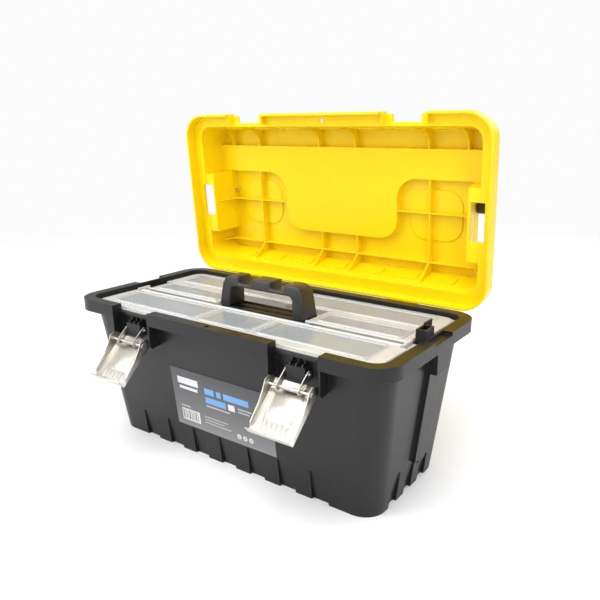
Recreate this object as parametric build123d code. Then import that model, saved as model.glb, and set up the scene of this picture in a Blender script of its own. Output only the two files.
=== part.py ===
from build123d import *
import math
import os

# Toolbox with a lift-out organiser tray. Millimetres, +Z up, +X to the right,
# the front faces -Y. The origin is the middle of the base, on the floor.
# The lid and the latches are modelled shut and then turned to their open rest pose.

# Body
RIM_X, RIM_Y = 230.0, 113.0          # half sizes of the rim's outer edge
BODY_H = 186.0                       # top of the rim
RIM_R = 30.0
BAND = 14.0                          # width of the flat rim band
SKIRT_H, SKIRT_T = 15.0, 2.5
WALL = 3.0
FRONT_TOP, FRONT_FOOT = 101.0, 77.0  # each wall's distance from the middle, at the rim
BACK_TOP, BACK_FOOT = 97.0, 82.0     # and at the floor
END_TOP, END_FOOT = 221.0, 200.0
TUB_R, FLOOR_R = 30.0, 26.0
LEDGE_Z = BODY_H - 9.0               # the tray rests here
LEDGE_IN = 4.0

# Lower wall recesses between the foot lobes
RECESS_W, RECESS_H, RECESS_D = 22.3, 38.0, 3.8
RECESS_TILT = 4.0                    # the recess is shallower towards its top
LONG_RECESSES = [44.6 * n for n in range(-3, 4)]
END_RECESSES = [-35.0, 0.0, 35.0]
COLUMN_MID, COLUMN_HALF = 16.0, 16.0  # raised column and housing on each end

# Latches
LATCH_X = 122.5
GAP_W = 62.0
PIVOT_Y, PIVOT_Z = -102.5, 159.5     # where the link turns on the body
LINK_L = 20.0
LINK_SHUT, LINK_TURN = 260.0, 40.0   # link direction when shut, and its travel to open
LEVER_TRAVEL = 172.7                 # lever travel on the link
PIN_R = 1.6
RUNNING = 0.05                       # radial clearance of every pin in its hole
PLATE_Y = -115.2                     # outer face of the shut lever
SHEET = 1.0                          # latch sheet metal
LEVER_HALF = 28.0
HOOK_Z = 191.9                       # top of the lever's hook lip

# Lid
LID_X, LID_Y = 233.5, 116.5
LID_R = 33.0
FLANGE_Z0, FLANGE_Z1 = 186.5, 190.5
DOME_TOP = 236.0
DOME_IN = 7.0                        # draft of the dome walls
HINGE_Y, HINGE_Z = 126.0, 174.0
HINGE_X = 122.5
HINGE_PIN_R = 2.0
LID_OPEN = 85.0

# Carry handle in the lid
RECESS_FLOOR = 225.0
GRIP_Y0, GRIP_Y1 = -66.0, -34.0      # front recess band
HAND_X, HAND_Y = 88.0, 48.0          # finger recess behind the grip
HOLLOW = 30.0                        # radius of the hollow corners where it meets the band
ARM_X0, ARM_X1 = 199.0, 211.0
PIVOT_H = 228.0
CARRY_PIN_R = 2.5

# End hooks on the body and their slots in the lid
HOOK_MID = 10.0
SLOT_HALF = 23.5

# Organiser tray
TRAY_X, TRAY_Y = 214.5, 97.5
TRAY_Z = LEDGE_Z + 0.2
TRAY_FLOOR = 138.0
TRAY_T = 1.8
COVER_Z0, COVER_Z1 = 179.8, 181.4
FRONT_AXIS, REAR_AXIS, COVER_AXIS_Z = -26.0, -14.0, 181.2
EAR_X = 202.5
BRIDGE_X = 68.0


def block(x0, x1, y0, y1, z0, z1):
    """A box from its corner planes."""
    return Pos((x0 + x1) / 2, (y0 + y1) / 2, (z0 + z1) / 2) * Box(x1 - x0, y1 - y0, z1 - z0)


def slab(half_x, half_y, radius, z0, z1):
    """A centred plate with round corners."""
    return Pos(0, 0, z0) * extrude(RectangleRounded(2 * half_x, 2 * half_y, radius), z1 - z0)


def frame(outer, inner, z0, z1):
    """A plate with a window; outer and inner are (half x, half y, radius)."""
    return slab(*outer, z0, z1) - slab(*inner, z0 - 1, z1 + 1)


def tub(low, high, z0, z1, low_y=0, high_y=0):
    """A drafted solid between two rounded outlines, whose middles may differ in Y."""
    ends = [Pos(0, low_y, z0) * RectangleRounded(2 * low[0], 2 * low[1], low[2]),
            Pos(0, high_y, z1) * RectangleRounded(2 * high[0], 2 * high[1], high[2])]
    return loft(Sketch() + ends)


def side_plate(points, x0, x1):
    """A flat piece whose outline is given in Y and Z, between two X planes."""
    face = make_face(Polyline(*[(x0, y, z) for y, z in points], close=True))
    return extrude(face, x1 - x0, dir=(1, 0, 0))


def front_plate(points, y0, y1):
    """A flat piece whose outline is given in X and Z, between two Y planes."""
    face = make_face(Polyline(*[(x, y0, z) for x, z in points], close=True))
    return extrude(face, y1 - y0, dir=(0, 1, 0))


def rod(x0, x1, y, z, radius):
    """A round bar along X."""
    return Pos((x0 + x1) / 2, y, z) * Rot(Y=90) * Cylinder(radius, x1 - x0)


def on_wall(turn, along):
    """Frame at the foot of a wall: its Y points into the box and its Z runs up the wall."""
    top, foot = {0: (FRONT_TOP, FRONT_FOOT), 180: (BACK_TOP, BACK_FOOT)}.get(turn, (END_TOP, END_FOOT))
    return Rot(Z=turn) * Pos(along, -foot, 0) * Rot(X=math.degrees(math.atan((top - foot) / BODY_H)))


def walls():
    """Turn and recess places of the four walls."""
    return [(0, LONG_RECESSES), (180, LONG_RECESSES), (90, END_RECESSES), (-90, END_RECESSES)]


# Body shell


def tub_wall():
    top = (END_TOP, (FRONT_TOP + BACK_TOP) / 2, TUB_R)
    foot = (END_FOOT, (FRONT_FOOT + BACK_FOOT) / 2, FLOOR_R)
    middles = ((BACK_FOOT - FRONT_FOOT) / 2, (BACK_TOP - FRONT_TOP) / 2)
    shape = tub(foot, top, 0, BODY_H, *middles)
    for turn in (90, -90):                      # raised column up each end
        column = block(-COLUMN_HALF, COLUMN_HALF, -4.5, 1, 34, 152)
        shape += on_wall(turn, math.copysign(COLUMN_MID, turn)) * column
    shape -= Pos(0, 0, WALL) * tub([v - WALL for v in foot], [v - WALL for v in top], 0, BODY_H, *middles)
    for turn, places in walls():
        half = RECESS_W / 2 if len(places) > 3 else 9.0
        for along in places:
            foot_of = on_wall(turn, along) * Pos(0, RECESS_D, 0) * Rot(X=RECESS_TILT)
            shape += foot_of * block(-half - WALL, half + WALL, 0, WALL, 1.2, RECESS_H + WALL)
    for turn, places in walls():
        half = RECESS_W / 2 if len(places) > 3 else 9.0
        for along in places:
            foot_of = on_wall(turn, along) * Pos(0, RECESS_D, 0) * Rot(X=RECESS_TILT)
            shape -= foot_of * block(-half, half, -12, 0, -6, RECESS_H)
    return shape - slab(250, 250, 10, BODY_H - 11, BODY_H + 20)


def rim():
    outer = (RIM_X, RIM_Y, RIM_R)
    mouth = (RIM_X - BAND, RIM_Y - BAND, RIM_R - 13)
    mouth_out = (mouth[0] + WALL, mouth[1] + WALL, mouth[2] + WALL)
    ledge = (mouth[0] - LEDGE_IN, mouth[1] - LEDGE_IN, mouth[2] - LEDGE_IN)
    skirt_in = (RIM_X - SKIRT_T, RIM_Y - SKIRT_T, RIM_R - SKIRT_T)
    shape = frame(outer, mouth, BODY_H - 3, BODY_H)
    shape += frame(outer, skirt_in, BODY_H - SKIRT_H, BODY_H)
    shape += frame(mouth_out, mouth, LEDGE_Z - 1, BODY_H)
    shape += frame(mouth_out, ledge, LEDGE_Z - WALL, LEDGE_Z)
    return shape


def latch_seat(x):
    """Pivot block, its ribs and the two fins that close the rim beside a latch gap."""
    shape = block(x - 12, x + 12, -108, -95.8, 152, 167)
    for side in (-8, 0, 8):
        rib = [(-107.5, 166.5), (-96.5, 166.5), (-97.5, 174.5), (-102, 176.5)]
        shape += side_plate(rib, x + side - 0.8, x + side + 0.8)
    fin = [(-112.5, 184), (-112.5, 145), (-109, 141.5), (-94.5, 143.5), (-97.5, 173), (-101, 176),
           (-101, 184)]
    for inner in (x - GAP_W / 2 - 2.5, x + GAP_W / 2):
        shape += side_plate(fin, inner, inner + 2.5)
    return shape


def latch_gap(x):
    """What is cut from the rim so that a latch can lie flush."""
    half = GAP_W / 2
    gap = block(x - half, x + half, -RIM_Y - 1, -98.5, LEDGE_Z, BODY_H + 1)
    gap += block(x - half, x + half, -RIM_Y - 1, -102, BODY_H - SKIRT_H - 1, BODY_H + 1)
    return gap


def end_hook():
    """Hollow tab and thin plate inside the right end of the rim, which rise into the lid's slot."""
    tab = block(204.5, 216.5, -6, 14, LEDGE_Z - WALL, 195) - block(206.5, 214.5, -4, 12, LEDGE_Z, 196)
    plate = block(204.5, 206.5, 13, 31, LEDGE_Z - WALL, 197)
    return tab + plate + block(206, 213, 29, 31, LEDGE_Z - WALL, 178)


def end_housing(side):
    """Hollow box under the rim's end, at the head of the column."""
    low, high = COLUMN_MID - COLUMN_HALF, COLUMN_MID + COLUMN_HALF
    wall = END_TOP - 6.5
    x0, x1 = sorted((side * wall, side * (RIM_X - 1.5)))
    inner0, inner1 = sorted((side * (wall + 2.5), side * (RIM_X - 4)))
    return block(x0, x1, low, high, 146, 173) - block(inner0, inner1, low + 2.5, high - 2.5, 140, 170)


def hinge_lug(x0, x1):
    """Ear that reaches out under the lid's skirt and round the hinge pin."""
    root = BACK_TOP - 4
    arm = [(root, 170.5), (root, 158), (RIM_Y, 160), (HINGE_Y, HINGE_Z - 6), (HINGE_Y, 170.5)]
    return side_plate(arm, x0, x1) + rod(x0, x1, HINGE_Y, HINGE_Z, 6)


def body_shell():
    shape = tub_wall() + rim()
    for x in (-LATCH_X, LATCH_X):
        shape += latch_seat(x)
        shape -= latch_gap(x)
        shape -= rod(x - 20, x + 20, PIVOT_Y, PIVOT_Z, PIN_R + RUNNING)
    for side in (-1, 1):
        x0, x1 = sorted((side * 219.0, side * 231.0))
        shape -= block(x0, x1, HOOK_MID - 22.5, HOOK_MID + 22.5, BODY_H - 4, BODY_H + 1)
        x0, x1 = sorted((side * 218.0, side * 229.0))
        shape += block(x0, x1, HOOK_MID - 24, HOOK_MID + 24, BODY_H - 6.5, BODY_H - 4)
        shape += end_housing(side)
    shape += end_hook()
    for x in (-HINGE_X, HINGE_X):
        for x0, x1 in ((x - 32, x - 20), (x + 20, x + 32)):
            shape += hinge_lug(x0, x1)
        shape -= rod(x - 40, x + 40, HINGE_Y, HINGE_Z, HINGE_PIN_R + RUNNING)
    shape -= Pos(0, -106, BODY_H) * Cylinder(3, 20)
    return shape


def front_label():
    """Thin sheet stuck on the front wall."""
    return on_wall(0, 0) * block(-78, 78, -0.5, -0.1, 39.4, 119.4)


# Lid


def dome():
    low = (RIM_X - BAND + WALL, RIM_Y - BAND + WALL, 20)
    high = (low[0] - DOME_IN, low[1] - DOME_IN - 2, 18)
    outside = tub(low, high, FLANGE_Z0 + 1, DOME_TOP)
    inside = tub([v - WALL for v in low], [v - WALL for v in high], FLANGE_Z0, DOME_TOP)
    return outside, inside - slab(250, 150, 10, DOME_TOP - WALL, DOME_TOP + 5)


def handle_recess(grow, z0, z1):
    """Plan of the carry handle's recess, grown by a wall thickness."""
    mid = (GRIP_Y0 + HAND_Y) / 2
    hand = RectangleRounded(2 * (HAND_X + grow), HAND_Y - GRIP_Y0 + 2 * grow, 24 + grow)
    shape = Pos(0, mid, z0) * extrude(hand, z1 - z0)
    shape += block(-230, 230, GRIP_Y0 - grow, GRIP_Y1 + grow, z0, z1)
    for side in (-1, 1):                        # hollow corner beside the finger recess
        x0, x1 = sorted((side * (HAND_X + grow - 1), side * (HAND_X + HOLLOW)))
        corner = block(x0, x1, GRIP_Y1 + grow - 1, GRIP_Y1 + HOLLOW, z0, z1)
        bite = Cylinder(HOLLOW - grow, z1 - z0 + 2)
        shape += corner - Pos(side * (HAND_X + HOLLOW), GRIP_Y1 + HOLLOW, (z0 + z1) / 2) * bite
    for side in (-1, 1):
        x0, x1 = sorted((side * (197 - grow), side * 230))
        shape += block(x0, x1, GRIP_Y1 - 5, -20, z0, z1)
    return shape


def end_pocket(side, grow, z0):
    """Pocket in a lid end for the carry handle's arm and the body's hook; its inner wall slopes."""
    outline = [(side * (204 - grow), z0), (side * (196.5 - grow), 222), (side * (196.5 - grow), DOME_TOP + 5),
               (side * 230, DOME_TOP + 5), (side * 230, z0)]
    return front_plate(outline, -27 - grow, 56 + grow)


def lid_ribs():
    """Stiffening ribs under the lid's top."""
    z0, z1 = RECESS_FLOOR - WALL, DOME_TOP - 1
    low = 77.0
    ribs = block(-212, 212, low - 0.9, low + 0.9, z0, z1)
    for side in (-1, 1):
        ribs += block(*sorted((side * (HAND_X - 2), side * 195)), HOOK_MID + 1, HOOK_MID + 2.8, z0, z1)
        end = [(side * 198, z0), (side * 213, z0), (side * 216, 196), (side * 213.6, 196)]
        ribs += front_plate(end, low - 0.9, low + 0.9)
        end = [(side * 184, z0), (side * 195, z0), (side * 202.5, 191), (side * 200, 191)]
        ribs += front_plate(end, HOOK_MID + 1, HOOK_MID + 2.8)
        ribs += block(side * 137 - 0.9, side * 137 + 0.9, GRIP_Y1, low, z0, z1)
        ribs += block(side * 29 - 0.9, side * 29 + 0.9, HAND_Y, low, z0, z1)
        for x in (29, 137):
            slant = [(low, z0), (low, z1), (94, z1), (101, 196), (97, 196)]
            ribs += side_plate(slant, side * x - 0.9, side * x + 0.9)
        for x in (29, 135, 186):
            front = [(GRIP_Y0, z0), (GRIP_Y0, z1), (-94, z1), (-101, 196), (-97, 196), (-90, 212),
                     (-80, z0)]
            ribs += side_plate(front, side * x - 0.9, side * x + 0.9)
    return ribs


def pad(length, width):
    """Low raised pad with round corners."""
    return Pos(0, 0, -2) * extrude(RectangleRounded(length, width, min(length, width) / 3), 3.4)


def lid_pads():
    """Raised pads on the inside of the lid's top and of its front and back walls."""
    top = DOME_TOP - WALL + 0.6
    pads = Pos(-142, 16, top) * pad(72, 66) + Pos(142, 16, top) * pad(72, 66)
    for turn in (0, 180):
        for x in (-163, -110, -58, 0, 58, 110, 163):
            pads += Rot(Z=turn) * Pos(x, -94.5, 211) * Rot(X=-100.5) * pad(34, 22)
    return pads


def notch_fins(x):
    """Fins on both sides of a latch notch; they drop into the body's latch gap."""
    fins = block(x - 30.6, x - 28.9, -LID_Y, -103, 178, FLANGE_Z1)
    return fins + block(x + 28.9, x + 30.6, -LID_Y, -103, 178, FLANGE_Z1)


def lid_shell():
    outside, inside = dome()
    shape = outside - inside
    outer = (LID_X, LID_Y, LID_R)
    opening = (RIM_X - BAND, RIM_Y - BAND, 17)
    skirt_in = (LID_X - 2.5, LID_Y - 2.5, LID_R - 2.5)
    shape += frame(outer, opening, FLANGE_Z0, FLANGE_Z1)
    shape += frame(outer, skirt_in, BODY_H - 14, FLANGE_Z1)
    inner_work = handle_recess(WALL, RECESS_FLOOR - WALL, DOME_TOP) + lid_ribs() + lid_pads()
    inner_work = inner_work & outside
    for side in (-1, 1):
        inner_work += end_pocket(side, WALL, FLANGE_Z0 + 0.5) & outside
    shape += inner_work
    shape -= handle_recess(0, RECESS_FLOOR, DOME_TOP + 5)
    for side in (-1, 1):
        shape -= end_pocket(side, 0, FLANGE_Z1)
        x0, x1 = sorted((side * 203.5, side * 222))
        shape -= block(x0, x1, HOOK_MID - SLOT_HALF, HOOK_MID + SLOT_HALF, FLANGE_Z0 - 1, FLANGE_Z1 + 1)
        shape -= rod(*sorted((side * 180, side * 199)), 0, PIVOT_H, CARRY_PIN_R)
    for x in (-LATCH_X, LATCH_X):
        shape -= block(x - 31, x + 31, -LID_Y - 2, -113.6, 170, FLANGE_Z1 + 1)
        shape -= block(x - 19, x + 19, -LID_Y - 2, -104, 170, FLANGE_Z1 + 1)
        shape += notch_fins(x)
    for x in (-HINGE_X, HINGE_X):
        knuckle = block(x - 19.5, x + 19.5, LID_Y - 2.5, HINGE_Y, HINGE_Z - 2, HINGE_Z + 6)
        shape += knuckle + rod(x - 19.5, x + 19.5, HINGE_Y, HINGE_Z, 6)
        shape -= rod(x - 40, x + 40, HINGE_Y, HINGE_Z, HINGE_PIN_R + RUNNING)
    shape -= Pos(0, -106, FLANGE_Z0) * Cylinder(3, 20)
    return shape


def carry_handle():
    """Bail handle, folded flat into the lid: a grip bar and two arms."""
    grip = block(-ARM_X1, ARM_X1, GRIP_Y0 + 3, GRIP_Y1 - 3, RECESS_FLOOR + 1, RECESS_FLOOR + 14)
    grip = fillet(grip.edges().filter_by(Axis.X), 4)
    shape = grip
    for side in (-1, 1):
        x0, x1 = sorted((side * ARM_X0, side * ARM_X1))
        shape += block(x0, x1, GRIP_Y0 + 10, 0, RECESS_FLOOR + 1, RECESS_FLOOR + 11)
        shape += rod(x0, x1, 0, PIVOT_H, 8)
        shape -= rod(x0 - 1, x1 + 1, 0, PIVOT_H, CARRY_PIN_R + RUNNING)
    return shape


# Latches


def latch_axle():
    """Where the lever turns on the link, when shut."""
    angle = math.radians(LINK_SHUT)
    return PIVOT_Y + LINK_L * math.cos(angle), PIVOT_Z + LINK_L * math.sin(angle)


def open_latch(shape, with_lever):
    """Turn a shut latch piece to its open place."""
    y, z = latch_axle()
    if with_lever:
        shape = shape.rotate(Axis((0, y, z), (1, 0, 0)), LEVER_TRAVEL)
    return shape.rotate(Axis((0, PIVOT_Y, PIVOT_Z), (1, 0, 0)), -LINK_TURN)


def latch_link(x):
    """Two arms beside the pivot block and the web that joins them."""
    along = Pos(x, PIVOT_Y, PIVOT_Z) * Rot(X=LINK_SHUT - 360)      # local Y runs from pivot to axle
    bar = SlotCenterToCenter(LINK_L, 9)
    shape = None
    for side in (13.0, -14.2):
        arm = Pos(side, LINK_L / 2, 0) * Rot(Y=90) * Rot(Z=90) * extrude(bar, 1.2)
        shape = arm if shape is None else shape + arm
    shape += block(-13.5, 13.5, 11, LINK_L + 1, 3.1, 4.3)
    for y in (0, LINK_L):
        shape -= rod(-20, 20, y, 0, PIN_R + RUNNING)
    return open_latch(along * shape, False)


def latch_lever(x):
    """Stamped channel with a hook lip at its top and ears at its foot."""
    y, z = latch_axle()
    back = PLATE_Y + SHEET
    plate = block(-LEVER_HALF, LEVER_HALF, PLATE_Y, back, z - 11, HOOK_Z)
    plate += block(-27, 27, PLATE_Y, -105, HOOK_Z - SHEET, HOOK_Z)
    side = [(PLATE_Y, z - 11), (y - 2, z - 10), (y + 4, z - 7), (y + 6.5, z), (y + 3, z + 7), (-107.5, 162),
            (-110, 183), (PLATE_Y, 188)]
    for x0 in (-LEVER_HALF, LEVER_HALF - SHEET):
        plate += side_plate(side, x0, x0 + SHEET)
    plate += block(-16.5, 16.5, back - 0.2, back + 0.8, z + 4, 172)
    for n in range(6):
        bead = -15.6 + n * 6.2
        plate += block(bead - 0.8, bead + 0.8, back - 0.2, back + 0.9, 177, 187)
    plate -= rod(-40, 40, y, z, PIN_R + RUNNING)
    return open_latch(Pos(x, 0, 0) * plate, True)


def latch_rivet(x):
    """Axle that joins lever and link, with a head at each end."""
    y, z = latch_axle()
    shape = rod(x - LEVER_HALF - 0.6, x + LEVER_HALF + 0.6, y, z, PIN_R)
    for side in (-1, 1):
        x0, x1 = sorted((x + side * (LEVER_HALF + 0.1), x + side * (LEVER_HALF + 1.3)))
        shape += rod(x0, x1, y, z, 2.8)
    return open_latch(shape, True)


# Tray


def tray_tub():
    top = (197.5, 92.0, 12.0)
    foot = (190.0, 84.0, 12.0)
    outside = tub(foot, top, TRAY_FLOOR, TRAY_Z + 2)
    inside = tub([v - TRAY_T for v in foot], [v - TRAY_T for v in top], TRAY_FLOOR, TRAY_Z + 2)
    inside = Pos(0, 0, TRAY_T) * inside
    opening = (top[0] - TRAY_T, top[1] - TRAY_T, 10.0)
    shape = outside - inside - slab(*opening, TRAY_Z, TRAY_Z + 5)
    dividers = block(-200, 200, -22.9, -21.1, TRAY_FLOOR, 176)
    dividers += block(-200, 200, 29.1, 30.9, TRAY_FLOOR, 176)
    for x in (-48, 48):
        dividers += block(x - 0.9, x + 0.9, -93, -22, TRAY_FLOOR, 176)
    dividers += block(-0.9, 0.9, 30, 93, TRAY_FLOOR, 176)
    shape += dividers & outside
    shape += block(-BRIDGE_X, BRIDGE_X, -22, 30, 174.2, 176.2)
    flange = frame((TRAY_X, TRAY_Y, 15.5), opening, TRAY_Z, TRAY_Z + 2)
    for side in (-1, 1):
        x0, x1 = sorted((side * 199.5, side * 220))
        flange -= block(x0, x1, HOOK_MID - 19, HOOK_MID + 23, TRAY_Z - 1, TRAY_Z + 5)
    shape += flange
    for side in (-1, 1):
        x0, x1 = sorted((side * (EAR_X - 1.5), side * (EAR_X + 1.5)))
        ear = block(x0, x1, FRONT_AXIS - 4, REAR_AXIS + 4, TRAY_Z, 184)
        for y in (FRONT_AXIS, REAR_AXIS):
            ear -= rod(x0 - 1, x1 + 1, y, COVER_AXIS_Z, 1.3)
        shape += ear
    return shape


def window_bead(x0, x1, y0, y1):
    """Raised border of one window in a cover."""
    place = Pos((x0 + x1) / 2, (y0 + y1) / 2, COVER_Z1 - 0.2)
    ring = RectangleRounded(x1 - x0, y1 - y0, 6) - RectangleRounded(x1 - x0 - 5, y1 - y0 - 5, 3.5)
    return place * extrude(ring, 1.6)


def cover_sheet(y0, y1, axis_y):
    """Cover sheet with a small turned-down edge and two hinge stubs."""
    outline = slab(208, 95.5, 14, COVER_Z0, COVER_Z1)
    edge = frame((208, 95.5, 14), (206.4, 93.9, 12.4), TRAY_Z + 2.3, COVER_Z1)
    shape = (outline + edge) & block(-230, 230, y0, y1, 170, 190)
    barrel = rod(-199, 199, axis_y, COVER_AXIS_Z, 1.6)
    for side in (-1, 1):
        x0, x1 = sorted((side * 199, side * 230))
        shape -= block(x0, x1, FRONT_AXIS - 6, HOOK_MID + 23, 170, 190)
        barrel += rod(*sorted((side * 198, side * (EAR_X + 1.5))), axis_y, COVER_AXIS_Z, 1.25)
    return shape + barrel


def front_cover():
    shape = cover_sheet(-96, FRONT_AXIS, FRONT_AXIS)
    for x0, x1 in ((-191, -46), (-40, 40), (46, 191)):
        shape += window_bead(x0, x1, -82, -34)
    return shape


def rear_cover():
    shape = cover_sheet(REAR_AXIS, 96, REAR_AXIS)
    shape -= block(-BRIDGE_X - 2, BRIDGE_X + 2, REAR_AXIS - 5, 37, 170, 190)
    for x0, x1 in ((-191, -76), (76, 191)):
        shape += window_bead(x0, x1, -6, 26)
    return shape + window_bead(-191, 191, 42, 86)


def tray_channel():
    """Dark strip under the tray handle, with a rib along it."""
    shape = block(-64, 64, -13, 19, 176.3, 178.0)
    for y0, y1 in ((-13, -10), (1.5, 4.5), (16, 19)):
        shape += block(-64, 64, y0, y1, 177.5, 180.0)
    return shape


def tray_handle():
    """Arched grip on the tray, with two notches in its top bar."""
    arch = [(-65, 180.2), (-61, 208), (-57, 216), (-50, 219), (50, 219), (57, 216), (61, 208),
            (65, 180.2), (49, 180.2), (48, 202), (44, 206), (-44, 206), (-48, 202), (-49, 180.2)]
    shape = front_plate(arch, -20, 26)
    side = [(-14, 180), (-11, 219.5), (14, 219.5), (17, 180)]
    shape = shape & side_plate(side, -70, 70)
    for x in (-25, 25):
        shape -= block(x - 10.5, x + 10.5, -20, 26, 210.5, 225)
    return shape


# Output


def open_lid(shape):
    return shape.rotate(Axis((0, HINGE_Y, HINGE_Z), (1, 0, 0)), -LID_OPEN)


def write(name, shape):
    export_step(shape, f"parts/{name}.step")


os.makedirs("parts", exist_ok=True)
write("body_shell", body_shell())
write("front_label", front_label())
write("lid_shell", open_lid(lid_shell()))
write("carry_handle", open_lid(carry_handle()))
write("tray_tub", tray_tub())
write("tray_channel", tray_channel())
write("tray_handle", tray_handle())
write("front_cover", front_cover())
write("rear_cover", rear_cover())
for word, sign in (("left", -1), ("right", 1)):
    at = sign * LATCH_X
    write(f"latch_link_{word}", latch_link(at))
    write(f"latch_lever_{word}", latch_lever(at))
    write(f"latch_rivet_{word}", latch_rivet(at))
    write(f"latch_pin_{word}", rod(at - 15.5, at + 15.5, PIVOT_Y, PIVOT_Z, PIN_R))
    write(f"hinge_pin_{word}", rod(sign * HINGE_X - 32, sign * HINGE_X + 32, HINGE_Y, HINGE_Z, HINGE_PIN_R))
    inner, outer = sorted((sign * 187.0, sign * ARM_X1))
    write(f"carry_pin_{word}", open_lid(rod(inner, outer, 0, PIVOT_H, CARRY_PIN_R)))
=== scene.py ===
import bpy
import math
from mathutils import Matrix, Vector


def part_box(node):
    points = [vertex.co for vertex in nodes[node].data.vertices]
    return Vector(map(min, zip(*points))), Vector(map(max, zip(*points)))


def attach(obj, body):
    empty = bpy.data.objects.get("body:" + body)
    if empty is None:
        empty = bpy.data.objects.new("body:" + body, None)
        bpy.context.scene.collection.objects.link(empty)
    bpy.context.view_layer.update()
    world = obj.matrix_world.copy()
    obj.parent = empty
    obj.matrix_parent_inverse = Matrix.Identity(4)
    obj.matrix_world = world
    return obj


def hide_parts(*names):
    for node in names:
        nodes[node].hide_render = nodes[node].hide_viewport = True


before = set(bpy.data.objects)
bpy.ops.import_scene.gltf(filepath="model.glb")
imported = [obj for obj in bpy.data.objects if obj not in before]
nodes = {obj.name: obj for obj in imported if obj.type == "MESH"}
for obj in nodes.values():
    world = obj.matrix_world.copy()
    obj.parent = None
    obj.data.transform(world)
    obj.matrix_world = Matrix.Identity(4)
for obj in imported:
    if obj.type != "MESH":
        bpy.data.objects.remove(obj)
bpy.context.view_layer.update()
print("toolbox: frame loaded,", len(nodes), "nodes")


# small helpers for node trees


def addNode(tree, kind, settings=None, **values):
    node = tree.nodes.new(kind)
    for key, value in (settings or {}).items():
        setattr(node, key, value)
    for key, value in values.items():
        node.inputs[key.replace("_", " ")].default_value = value
    return node


def maths(tree, operation, a, b=None, clamp=False):
    node = tree.nodes.new("ShaderNodeMath")
    node.operation = operation
    node.use_clamp = clamp
    for slot, value in ((0, a), (1, b)):
        if value is None:
            continue
        if isinstance(value, (int, float)):
            node.inputs[slot].default_value = value
        else:
            tree.links.new(value, node.inputs[slot])
    return node.outputs[0]


def mixColour(tree, factor, a, b):
    node = tree.nodes.new("ShaderNodeMix")
    node.data_type = "RGBA"
    for slot, value in ((0, factor), (6, a), (7, b)):
        if isinstance(value, (int, float)):
            node.inputs[slot].default_value = value
        elif isinstance(value, tuple):
            node.inputs[slot].default_value = (*value, 1)
        else:
            tree.links.new(value, node.inputs[slot])
    return node.outputs[2]


def insideBar(tree, across, up, left, right, low, high):
    a = maths(tree, "GREATER_THAN", across, left / 1000)
    b = maths(tree, "LESS_THAN", across, right / 1000)
    c = maths(tree, "GREATER_THAN", up, low / 1000)
    d = maths(tree, "LESS_THAN", up, high / 1000)
    return maths(tree, "MULTIPLY", maths(tree, "MULTIPLY", a, b), maths(tree, "MULTIPLY", c, d))


# camera, lights and floor

camera = {
    "place": (0.46924, -0.58164, 0.39741),
    "turn": 35.67,      # degrees round from straight ahead
    "down": 15.36,
    "roll": 0.09,
    "lens": 37.54,
    "sensor": 36,
}


def makeCamera():
    data = bpy.data.cameras.new("viewCamera")
    data.lens = camera["lens"]
    data.sensor_width = camera["sensor"]
    obj = bpy.data.objects.new("viewCamera", data)
    bpy.context.scene.collection.objects.link(obj)
    obj.location = camera["place"]
    tilt = math.radians(90 - camera["down"])
    obj.rotation_euler = (tilt, math.radians(camera["roll"]), math.radians(camera["turn"]))
    bpy.context.scene.camera = obj


studio = {
    "skyTop": (1.0, 1.0, 1.0),
    "skyLow": (0.3, 0.3, 0.31),
    "skyStrength": 0.95,
    "skyRise": (0.8, 0.35),           # how fast it brightens upwards, and where it starts
    "paper": (0.97, 0.97, 0.97),      # what the camera sees behind the box
    "floorColour": (0.93, 0.93, 0.93),
    "floorRough": 0.9,
    "floorSize": 14,
    "floorFade": (0.7, 2.2),          # metres from the middle
    "lamps": [           # name, place, aimed at, width, height, watts
        ("overhead", (0.1, -0.5, 1.7), (0.0, 0.0, 0.15), 1.6, 1.2, 20),
        ("frontLeft", (-1.2, -1.5, 1.1), (0.0, 0.0, 0.2), 1.0, 1.2, 16),
        ("frontRight", (1.4, -1.2, 1.0), (0.1, 0.0, 0.2), 0.7, 1.0, 9),
        ("behind", (0.3, 1.6, 1.2), (0.0, 0.1, 0.2), 1.2, 0.8, 7),
    ],
}


def makeStudio():
    world = bpy.data.worlds.new("studioSky")
    bpy.context.scene.world = world
    world.use_nodes = True
    tree = world.node_tree
    sky = tree.nodes["Background"]
    sky.inputs["Strength"].default_value = studio["skyStrength"]
    split = tree.nodes.new("ShaderNodeSeparateXYZ")
    tree.links.new(tree.nodes.new("ShaderNodeTexCoord").outputs["Generated"], split.inputs[0])
    slope, start = studio["skyRise"]
    rise = maths(tree, "MULTIPLY_ADD", split.outputs["Z"], slope, True)
    rise.node.inputs[2].default_value = start
    tree.links.new(mixColour(tree, rise, studio["skyLow"], studio["skyTop"]), sky.inputs["Color"])
    paper = tree.nodes.new("ShaderNodeBackground")
    paper.inputs["Color"].default_value = (*studio["paper"], 1)
    join = tree.nodes.new("ShaderNodeMixShader")
    tree.links.new(tree.nodes.new("ShaderNodeLightPath").outputs["Is Camera Ray"], join.inputs[0])
    tree.links.new(sky.outputs[0], join.inputs[1])
    tree.links.new(paper.outputs[0], join.inputs[2])
    tree.links.new(join.outputs[0], tree.nodes["World Output"].inputs["Surface"])
    for name, place, target, width, height, watts in studio["lamps"]:
        data = bpy.data.lights.new(name, "AREA")
        data.shape = "RECTANGLE"
        data.size = width
        data.size_y = height
        data.energy = watts
        lamp = bpy.data.objects.new(name, data)
        bpy.context.scene.collection.objects.link(lamp)
        lamp.location = place
        aim = [t - p for t, p in zip(target, place)]
        flat = math.hypot(aim[0], aim[1])
        lamp.rotation_euler = (math.atan2(flat, -aim[2]), 0, math.atan2(-aim[0], aim[1]))


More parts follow.
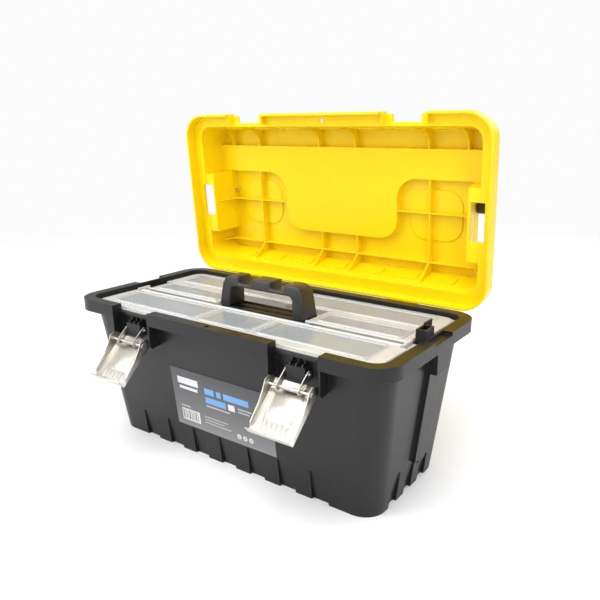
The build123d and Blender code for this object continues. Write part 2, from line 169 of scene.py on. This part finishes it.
def makeFloor():
    bpy.ops.object.select_all(action="DESELECT")
    bpy.ops.mesh.primitive_plane_add(size=studio["floorSize"], location=(0, 0, 0))
    floor = bpy.context.object
    floor.name = "studioFloor"
    paint = bpy.data.materials.new("palePaper")
    paint.use_nodes = True
    tree = paint.node_tree
    shader = tree.nodes["Principled BSDF"]
    shader.inputs["Base Color"].default_value = (*studio["floorColour"], 1)
    shader.inputs["Roughness"].default_value = studio["floorRough"]
    far = tree.nodes.new("ShaderNodeVectorMath")
    far.operation = "LENGTH"
    tree.links.new(tree.nodes.new("ShaderNodeTexCoord").outputs["Object"], far.inputs[0])
    fade = tree.nodes.new("ShaderNodeMapRange")      # the far floor fades into the backdrop
    fade.inputs["From Min"].default_value, fade.inputs["From Max"].default_value = studio["floorFade"]
    tree.links.new(far.outputs["Value"], fade.inputs["Value"])
    glow = tree.nodes.new("ShaderNodeEmission")
    glow.inputs["Color"].default_value = (*studio["paper"], 1)
    join = tree.nodes.new("ShaderNodeMixShader")
    tree.links.new(fade.outputs["Result"], join.inputs[0])
    tree.links.new(shader.outputs[0], join.inputs[1])
    tree.links.new(glow.outputs[0], join.inputs[2])
    tree.links.new(join.outputs[0], tree.nodes["Material Output"].inputs["Surface"])
    floor.data.materials.append(paint)


makeCamera()
makeStudio()
makeFloor()
bpy.context.scene.view_settings.view_transform = "Standard"
print("toolbox: camera and studio ready")


# node groups that several finishes share


def newGroup(name, inputs, outputs):
    group = bpy.data.node_groups.new(name, "ShaderNodeTree")
    for label, kind, value in inputs:
        socket = group.interface.new_socket(label, in_out="INPUT", socket_type=kind)
        socket.default_value = value
    for label, kind in outputs:
        group.interface.new_socket(label, in_out="OUTPUT", socket_type=kind)
    return group, group.nodes.new("NodeGroupInput"), group.nodes.new("NodeGroupOutput")


def noiseAt(tree, place, size, detail=2.0, stretch=(1, 1, 1)):
    mapping = tree.nodes.new("ShaderNodeMapping")
    mapping.inputs["Scale"].default_value = stretch
    tree.links.new(place, mapping.inputs["Vector"])
    noise = addNode(tree, "ShaderNodeTexNoise", None, Scale=1 / size, Detail=detail)
    tree.links.new(mapping.outputs[0], noise.inputs["Vector"])
    return noise.outputs["Fac"]


grainLook = {            # sizes in metres, then how much each pattern counts
    "fine": 0.0007, "broad": 0.035, "smudge": 0.012,
    "broadHeight": 0.6,
    "smudgeShare": 0.6, "fineShare": 0.4,      # in the roughness
}


def makeMouldGrain():
    group, given, put = newGroup(
        "mouldGrain",
        [("Place", "NodeSocketVector", (0, 0, 0)), ("Grain Depth", "NodeSocketFloat", 0.5),
         ("Rough Low", "NodeSocketFloat", 0.3), ("Rough High", "NodeSocketFloat", 0.5)],
        [("Height", "NodeSocketFloat"), ("Roughness", "NodeSocketFloat"), ("Cloud", "NodeSocketFloat")])
    place = given.outputs["Place"]
    fine = noiseAt(group, place, grainLook["fine"], 3)
    broad = noiseAt(group, place, grainLook["broad"], 4)
    smudge = noiseAt(group, place, grainLook["smudge"], 5)
    height = maths(group, "MULTIPLY", fine, given.outputs["Grain Depth"])
    height = maths(group, "ADD", height, maths(group, "MULTIPLY", broad, grainLook["broadHeight"]))
    spread = maths(group, "SUBTRACT", given.outputs["Rough High"], given.outputs["Rough Low"])
    wander = maths(group, "ADD", maths(group, "MULTIPLY", smudge, grainLook["smudgeShare"]),
                   maths(group, "MULTIPLY", fine, grainLook["fineShare"]))
    rough = maths(group, "ADD", given.outputs["Rough Low"], maths(group, "MULTIPLY", wander, spread))
    group.links.new(height, put.inputs["Height"])
    group.links.new(rough, put.inputs["Roughness"])
    group.links.new(broad, put.inputs["Cloud"])
    return group


wearLook = {
    "edgeGain": 4.0,         # how quickly an edge reaches its full mask
    "patchSize": 0.006,
    "patchFrom": 0.35, "patchGain": 3.0,       # where a patch starts, and how sharp it is
}


def makeEdgeWear():
    group, given, put = newGroup(
        "edgeWear",
        [("Place", "NodeSocketVector", (0, 0, 0)), ("Radius", "NodeSocketFloat", 0.0008),
         ("Amount", "NodeSocketFloat", 1.0)],
        [("Mask", "NodeSocketFloat"), ("Edge", "NodeSocketFloat"), ("Normal", "NodeSocketVector")])
    soft = addNode(group, "ShaderNodeBevel", {"samples": 4})
    group.links.new(given.outputs["Radius"], soft.inputs["Radius"])
    shape = group.nodes.new("ShaderNodeNewGeometry")
    turn = group.nodes.new("ShaderNodeVectorMath")
    turn.operation = "DOT_PRODUCT"
    group.links.new(soft.outputs[0], turn.inputs[0])
    group.links.new(shape.outputs["Normal"], turn.inputs[1])
    edge = maths(group, "SUBTRACT", 1.0, turn.outputs["Value"])
    edge = maths(group, "MULTIPLY", edge, wearLook["edgeGain"], True)
    patches = noiseAt(group, given.outputs["Place"], wearLook["patchSize"], 4)
    patches = maths(group, "SUBTRACT", patches, wearLook["patchFrom"])
    patches = maths(group, "MULTIPLY", patches, wearLook["patchGain"], True)
    mask = maths(group, "MULTIPLY", maths(group, "MULTIPLY", edge, patches), given.outputs["Amount"], True)
    group.links.new(mask, put.inputs["Mask"])
    group.links.new(edge, put.inputs["Edge"])
    group.links.new(soft.outputs[0], put.inputs["Normal"])
    return group


mouldGrain = makeMouldGrain()
edgeWear = makeEdgeWear()


def placeGroup(tree, group, **values):
    node = tree.nodes.new("ShaderNodeGroup")
    node.node_tree = group
    for key, value in values.items():
        node.inputs[key.replace("_", " ")].default_value = value
    return node


def newFinish(name, shaderValues):
    material = bpy.data.materials.new(name)
    material.use_nodes = True
    tree = material.node_tree
    shader = tree.nodes["Principled BSDF"]
    for key, value in shaderValues.items():
        shader.inputs[key].default_value = value
    place = tree.nodes.new("ShaderNodeTexCoord").outputs["Object"]
    return material, tree, shader, place


def putBump(tree, shader, height, distance, normal=None):
    bump = addNode(tree, "ShaderNodeBump", None, Strength=1.0, Distance=distance)
    tree.links.new(height, bump.inputs["Height"])
    if normal is not None:
        tree.links.new(normal, bump.inputs["Normal"])
    tree.links.new(bump.outputs[0], shader.inputs["Normal"])


# moulded plastics: shells, handles and tray

plastics = {
    "charcoalShell": {
        "colour": (0.006, 0.006, 0.007), "cloud": (0.009, 0.009, 0.0105), "worn": (0.028, 0.028, 0.03),
        "rough": (0.3, 0.44), "grain": 0.8, "bump": 0.00004, "edge": 0.0009, "wear": 0.5,
        "shader": {"IOR": 1.47, "Specular IOR Level": 0.4},
    },
    "blackHandle": {
        "colour": (0.012, 0.012, 0.013), "cloud": (0.02, 0.02, 0.021), "worn": (0.055, 0.055, 0.057),
        "rough": (0.28, 0.42), "grain": 0.6, "bump": 0.00005, "edge": 0.0012, "wear": 0.5,
        "shader": {"IOR": 1.49, "Specular IOR Level": 0.55},
    },
    "greyGrip": {
        "colour": (0.018, 0.018, 0.0195), "cloud": (0.026, 0.026, 0.028), "worn": (0.06, 0.06, 0.064),
        "rough": (0.26, 0.4), "grain": 0.5, "bump": 0.00005, "edge": 0.0014, "wear": 0.5,
        "shader": {"IOR": 1.49, "Specular IOR Level": 0.6},
    },
    "yellowLid": {
        "colour": (0.92, 0.67, 0.003), "cloud": (0.89, 0.64, 0.002), "worn": (0.95, 0.74, 0.04),
        "rough": (0.2, 0.34), "grain": 0.35, "bump": 0.00003, "edge": 0.0012, "wear": 0.4,
        "shader": {"IOR": 1.48, "Specular IOR Level": 0.25},
    },
    "milkyTray": {
        "colour": (0.58, 0.57, 0.55), "cloud": (0.5, 0.49, 0.47), "worn": (0.8, 0.8, 0.79),
        "rough": (0.28, 0.42), "grain": 0.4, "bump": 0.00003, "edge": 0.0008, "wear": 0.6,
        "shader": {"IOR": 1.5, "Subsurface Weight": 0.25, "Subsurface Radius": (0.01, 0.01, 0.009),
                   "Subsurface Scale": 1.0},
    },
}


def makePlastic(name):
    look = plastics[name]
    material, tree, shader, place = newFinish(name, look["shader"])
    grain = placeGroup(tree, mouldGrain, Grain_Depth=look["grain"], Rough_Low=look["rough"][0],
                       Rough_High=look["rough"][1])
    wear = placeGroup(tree, edgeWear, Radius=look["edge"], Amount=look["wear"])
    tree.links.new(place, grain.inputs["Place"])
    tree.links.new(place, wear.inputs["Place"])
    body = mixColour(tree, grain.outputs["Cloud"], look["colour"], look["cloud"])
    body = mixColour(tree, wear.outputs["Mask"], body, look["worn"])
    tree.links.new(body, shader.inputs["Base Color"])
    tree.links.new(grain.outputs["Roughness"], shader.inputs["Roughness"])
    putBump(tree, shader, grain.outputs["Height"], look["bump"], wear.outputs["Normal"])
    return material


coverSheet = {
    "clear": (0.56, 0.62, 0.67), "haze": (0.5, 0.54, 0.57),      # in the windows
    "frame": (0.74, 0.745, 0.74), "edgeTint": (0.88, 0.89, 0.9),
    "cover": 0.22,           # how much a window hides of what lies under it
    "cloud": 0.16,           # how much more its cloudy places hide
    "frosted": 0.26,         # how much more the sheet round the windows hides
    "bead": 0.95,            # how much more edges and beads hide
    "rough": (0.08, 0.2), "grain": 0.1, "bump": 0.00002, "edge": 0.0016, "wear": 1.0,
    "windows": [             # left, right, front and back in millimetres
        (-191, -46, -82, -34), (-40, 40, -82, -34), (46, 191, -82, -34),
        (-191, -76, -6, 26), (76, 191, -6, 26), (-191, 191, 42, 86),
    ],
}


def makeCoverPlastic():
    gloss = {"IOR": 1.46, "Coat Weight": 0.6, "Coat Roughness": 0.08}
    material, tree, shader, place = newFinish("clearCover", gloss)
    grain = placeGroup(tree, mouldGrain, Grain_Depth=coverSheet["grain"],
                       Rough_Low=coverSheet["rough"][0], Rough_High=coverSheet["rough"][1])
    wear = placeGroup(tree, edgeWear, Radius=coverSheet["edge"], Amount=coverSheet["wear"])
    tree.links.new(place, grain.inputs["Place"])
    tree.links.new(place, wear.inputs["Place"])
    split = tree.nodes.new("ShaderNodeSeparateXYZ")
    tree.links.new(place, split.inputs[0])
    pane = 0.0
    for window in coverSheet["windows"]:
        pane = maths(tree, "ADD", pane, insideBar(tree, split.outputs["X"], split.outputs["Y"], *window))
    body = mixColour(tree, grain.outputs["Cloud"], coverSheet["clear"], coverSheet["haze"])
    body = mixColour(tree, pane, coverSheet["frame"], body)
    body = mixColour(tree, wear.outputs["Edge"], body, coverSheet["edgeTint"])
    tree.links.new(body, shader.inputs["Base Color"])
    tree.links.new(grain.outputs["Roughness"], shader.inputs["Roughness"])
    haze = maths(tree, "MULTIPLY", grain.outputs["Cloud"], coverSheet["cloud"])
    cover = maths(tree, "ADD", haze, maths(tree, "MULTIPLY", wear.outputs["Edge"], coverSheet["bead"]))
    cover = maths(tree, "ADD", cover, coverSheet["cover"])
    frosted = maths(tree, "MULTIPLY", maths(tree, "SUBTRACT", 1.0, pane), coverSheet["frosted"])
    cover = maths(tree, "ADD", cover, frosted, True)
    tree.links.new(cover, shader.inputs["Alpha"])
    putBump(tree, shader, grain.outputs["Height"], coverSheet["bump"], wear.outputs["Normal"])
    return material


# metals: nickel plated latches and drawn steel pins

bareMetal = (0.9, 0.88, 0.84)        # where edges are rubbed
metals = {
    "nickelPlate": {
        "colour": (0.6, 0.575, 0.52), "stain": (0.49, 0.455, 0.39), "rough": (0.24, 0.38),
        "streak": (1, 12, 12), "streakSize": 0.004, "bump": 0.000015, "edge": 0.0006, "wear": 0.8,
    },
    "drawnPin": {
        "colour": (0.62, 0.61, 0.6), "stain": (0.4, 0.38, 0.36), "rough": (0.2, 0.4),
        "streak": (1, 30, 30), "streakSize": 0.006, "bump": 0.00002, "edge": 0.0003, "wear": 0.8,
    },
}
stainLook = {"size": 0.009, "from": 0.5, "gain": 2.2}


def makeMetal(name):
    look = metals[name]
    material, tree, shader, place = newFinish(name, {"Metallic": 1.0})
    streak = noiseAt(tree, place, look["streakSize"], 3, look["streak"])
    cloud = noiseAt(tree, place, stainLook["size"], 4)
    wear = placeGroup(tree, edgeWear, Radius=look["edge"], Amount=look["wear"])
    tree.links.new(place, wear.inputs["Place"])
    stain = maths(tree, "SUBTRACT", cloud, stainLook["from"])
    stain = maths(tree, "MULTIPLY", stain, stainLook["gain"], True)
    body = mixColour(tree, stain, look["colour"], look["stain"])
    body = mixColour(tree, wear.outputs["Mask"], body, bareMetal)
    tree.links.new(body, shader.inputs["Base Color"])
    low, high = look["rough"]
    blend = maths(tree, "ADD", maths(tree, "MULTIPLY", streak, 0.5),
                  maths(tree, "MULTIPLY", cloud, 0.5))      # half and half
    rough = maths(tree, "ADD", low, maths(tree, "MULTIPLY", blend, high - low))
    tree.links.new(rough, shader.inputs["Roughness"])
    putBump(tree, shader, streak, look["bump"], wear.outputs["Normal"])
    return material


# printed label on the front wall

label = {
    "top": (0.018, 0.019, 0.022), "bottom": (0.2, 0.2, 0.205),
    "white": (0.62, 0.63, 0.65), "blue": (0.1, 0.3, 0.62), "grey": (0.36, 0.36, 0.37),
    "ink": (0.02, 0.02, 0.02),
    "bars": [            # left, right, low, high in millimetres, then colour
        (-68, -34, 98, 107, "white"), (-66, -36, 91, 95, "white"),
        (-24, -9, 93, 101, "blue"), (-5, 2, 93, 101, "blue"), (6, 44, 93, 101, "blue"),
        (-24, 8, 81, 89, "blue"), (12, 22, 81, 89, "white"),
        (27, 48, 86, 88, "grey"), (27, 44, 82, 84, "grey"),
        (-24, 14, 76, 78, "grey"), (-68, -38, 47, 63, "white"), (-68, -52, 66, 68, "grey"),
        (-30, 8, 60, 61.4, "grey"), (-30, 2, 56, 57.4, "grey"), (-30, 12, 52, 53.4, "grey"),
    ],
    "stripes": [         # left edge and width of each dark line
        (-66.5, 1.6), (-63.5, 0.8), (-61.2, 1.2), (-58.2, 0.7), (-56.3, 1.7),
        (-52.8, 0.8), (-50.5, 1.1), (-47.6, 0.7), (-45.6, 1.6), (-42.2, 0.9),
    ],
    "stripeFoot": 48.5, "stripeHead": 61.5,
    "discs": [(24, 49), (33, 49), (42, 49)],
    "discRadius": 3.2, "discCore": 0.6,        # the core as a share of the disc
    "fade": 0.6,             # under 1 darkens sooner from the foot up
    "rough": (0.25, 0.4), "grain": 0.2, "bump": 0.00003,
}


def insideDisc(tree, x, z, across, up, radius):
    dx = maths(tree, "SUBTRACT", x, across / 1000)
    dz = maths(tree, "SUBTRACT", z, up / 1000)
    far = maths(tree, "ADD", maths(tree, "MULTIPLY", dx, dx), maths(tree, "MULTIPLY", dz, dz))
    return maths(tree, "LESS_THAN", far, (radius / 1000) ** 2)


def makeLabelPrint():
    low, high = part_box("front_label")
    material, tree, shader, place = newFinish("labelPrint", {"Coat Weight": 0.5, "Coat Roughness": 0.12})
    split = tree.nodes.new("ShaderNodeSeparateXYZ")
    tree.links.new(place, split.inputs[0])
    x, z = split.outputs["X"], split.outputs["Z"]
    rise = maths(tree, "DIVIDE", maths(tree, "SUBTRACT", z, low.z), high.z - low.z, True)
    body = mixColour(tree, maths(tree, "POWER", rise, label["fade"]), label["bottom"], label["top"])
    for left, right, foot, head, colour in label["bars"]:
        body = mixColour(tree, insideBar(tree, x, z, left, right, foot, head), body, label[colour])
    foot, head = label["stripeFoot"], label["stripeHead"]
    for left, width in label["stripes"]:
        body = mixColour(tree, insideBar(tree, x, z, left, left + width, foot, head), body, label["ink"])
    wide, core = label["discRadius"], label["discRadius"] * label["discCore"]
    for across, up in label["discs"]:
        for radius, colour in ((wide, "white"), (core, "grey")):
            body = mixColour(tree, insideDisc(tree, x, z, across, up, radius), body, label[colour])
    grain = placeGroup(tree, mouldGrain, Grain_Depth=label["grain"], Rough_Low=label["rough"][0],
                       Rough_High=label["rough"][1])
    tree.links.new(place, grain.inputs["Place"])
    tree.links.new(body, shader.inputs["Base Color"])
    tree.links.new(grain.outputs["Roughness"], shader.inputs["Roughness"])
    putBump(tree, shader, grain.outputs["Height"], label["bump"])
    return material


finishes = {name: makePlastic(name) for name in plastics}
finishes.update({name: makeMetal(name) for name in metals})
finishes["clearCover"] = makeCoverPlastic()
finishes["labelPrint"] = makeLabelPrint()
print("toolbox: finishes made:", ", ".join(sorted(finishes)))

nodeFinish = {
    "body_shell": "charcoalShell", "lid_shell": "yellowLid", "front_label": "labelPrint",
    "carry_handle": "blackHandle", "tray_tub": "milkyTray", "tray_channel": "charcoalShell",
    "tray_handle": "greyGrip", "front_cover": "clearCover", "rear_cover": "clearCover",
}
for side in ("left", "right"):
    for part in ("latch_lever_", "latch_link_"):
        nodeFinish[part + side] = "nickelPlate"
    for part in ("latch_rivet_", "latch_pin_", "hinge_pin_", "carry_pin_"):
        nodeFinish[part + side] = "drawnPin"


def paintNodes():
    for name, obj in nodes.items():
        if not obj.material_slots:
            obj.data.materials.append(None)
        for slot in obj.material_slots:
            slot.material = finishes[nodeFinish[name]]


paintNodes()
print("toolbox: nodes painted")


# moulded and stamped pieces with rounded edges, made from the plain nodes

edgeTurn = {             # metres, then degrees
    "weld": 0.00001,         # points nearer than this are one
    "flat": 1.5,             # a smaller turn than this is one flat face
    "bevel": 35,             # edges that turn further are rounded
    "smooth": 40,            # and those that turn less are shaded smooth
}
rounded = {              # node: body it rides on, slot, edge radius, bevel segments
    "tray_handle": ("tray", "grey_grip", 0.0016, 3),
    "carry_handle": ("carry_handle", "black_handle", 0.0012, 2),
    "tray_channel": ("tray", "black_plastic", 0.0005, 2),
    "latch_lever_left": ("latch_lever_left", "nickel_plate", 0.00028, 2),
    "latch_lever_right": ("latch_lever_right", "nickel_plate", 0.00028, 2),
    "latch_link_left": ("latch_link_left", "nickel_plate", 0.0003, 2),
    "latch_link_right": ("latch_link_right", "nickel_plate", 0.0003, 2),
}


def roundOff(name):
    body, slot, radius, segments = rounded[name]
    piece = nodes[name].copy()
    piece.data = nodes[name].data.copy()
    for key in list(piece.keys()):
        del piece[key]
    piece.parent = None
    piece.name = name.replace("_", "-") + "-rounded"
    bpy.context.scene.collection.objects.link(piece)
    bpy.ops.object.select_all(action="DESELECT")
    bpy.context.view_layer.objects.active = piece
    piece.select_set(True)
    bpy.ops.object.mode_set(mode="EDIT")
    bpy.ops.mesh.select_all(action="SELECT")
    bpy.ops.mesh.remove_doubles(threshold=edgeTurn["weld"])
    bpy.ops.mesh.customdata_custom_splitnormals_clear()
    bpy.ops.mesh.dissolve_limited(angle_limit=math.radians(edgeTurn["flat"]))
    bpy.ops.object.mode_set(mode="OBJECT")
    bevel = piece.modifiers.new("edges", "BEVEL")
    bevel.width = radius
    bevel.segments = segments
    bevel.limit_method = "ANGLE"
    bevel.angle_limit = math.radians(edgeTurn["bevel"])
    bevel.use_clamp_overlap = True
    bpy.ops.object.modifier_apply(modifier="edges")
    bpy.ops.object.shade_smooth_by_angle(angle=math.radians(edgeTurn["smooth"]))
    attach(piece, body)
    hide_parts(name)


for name in rounded:
    roundOff(name)
print("toolbox: rounded", len(rounded), "pieces")
